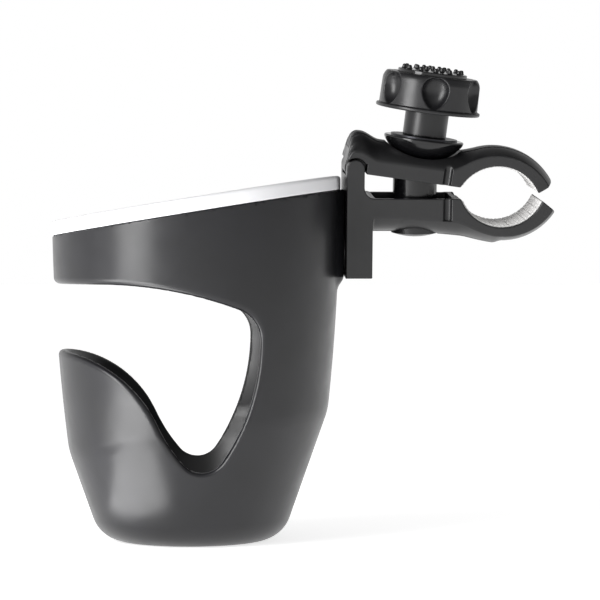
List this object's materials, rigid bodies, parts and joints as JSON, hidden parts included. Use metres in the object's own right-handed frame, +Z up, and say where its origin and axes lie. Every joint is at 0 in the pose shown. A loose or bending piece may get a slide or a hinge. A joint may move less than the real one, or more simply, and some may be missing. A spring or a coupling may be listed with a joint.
{
  "type": "clamp-on cup holder",
  "caption": "Tapered cup holder with a sloping rim and a cut-away window, on a swivelling screw clamp that grips a round tube.",
  "frame": {"origin": "centre of the underside of the cup", "axes": "+Z up along the cup's axis, +X from the cup towards the clamp, +Y towards the side away from the viewer"},
  "size_m": [0.1622, 0.093, 0.1539],
  "materials": {
    "cup_plastic": "satin moulded polypropylene",
    "rim_plastic": "satin light grey",
    "clamp_plastic": "satin glass-filled nylon",
    "knob_plastic": "semi-gloss",
    "pad_rubber": "matte soft grip",
    "steel": "zinc plated",
    "brass": "turned"
  },
  "bodies": {
    "clamp": {"clamp_bracket": "clamp_plastic", "lower_pad": "pad_rubber", "hinge_pin": "steel", "barrel_sleeve": "knob_plastic", "barrel_cap": "knob_plastic", "pivot_pin": "steel", "swivel_bush": "knob_plastic", "swivel_washer": "steel", "swivel_screw": "steel", "swivel_nut": "steel"},
    "cup": {"cup_shell": "cup_plastic", "rim_ring": "rim_plastic"},
    "upper_jaw": {"upper_jaw": "clamp_plastic", "upper_pad": "pad_rubber"},
    "bolt": {"clamp_bolt": "steel"},
    "dish": {"pressure_dish": "knob_plastic", "thrust_washer": "steel"},
    "knob": {"knob": "knob_plastic", "knob_insert": "brass", "knob_cap": "knob_plastic"}
  },
  "joints": [
    {"name": "cup_swivel", "type": "hinge", "parent": "clamp", "child": "cup", "pos_m": [0.0448, 0, 0.0935], "axis": [1, 0, 0], "range_deg": [-83, 97]},
    {"name": "jaw_open", "type": "hinge", "parent": "clamp", "child": "upper_jaw", "pos_m": [0.05038, -0.00329, 0.1203], "axis": [0, -0.9925, -0.1219], "range_deg": [-0.4, 26.1]},
    {"name": "bolt_tilt", "type": "hinge", "parent": "clamp", "child": "bolt", "pos_m": [0.0704, -0.00158, 0.1064], "axis": [0, -0.9925, -0.1219], "range_deg": [-0.3, 16]},
    {"name": "dish_travel", "type": "slide", "parent": "bolt", "child": "dish", "axis": [0.1184, -0.121, 0.9856], "range_m": [-0.0002, 0.0097]},
    {"name": "knob_turn", "type": "hinge", "parent": "dish", "child": "knob", "pos_m": [0.0704, -0.00158, 0.1064], "axis": [0.1184, -0.121, 0.9856], "range_deg": [-50, 3440]}
  ],
  "couplings": [
    {"joint": "dish_travel", "follows": "knob_turn", "m_per_rad": 0.00015915},
    {"joint": "jaw_open", "follows": "knob_turn", "ratio": 0.0075788},
    {"joint": "bolt_tilt", "follows": "knob_turn", "ratio": 0.0046231}
  ]
}
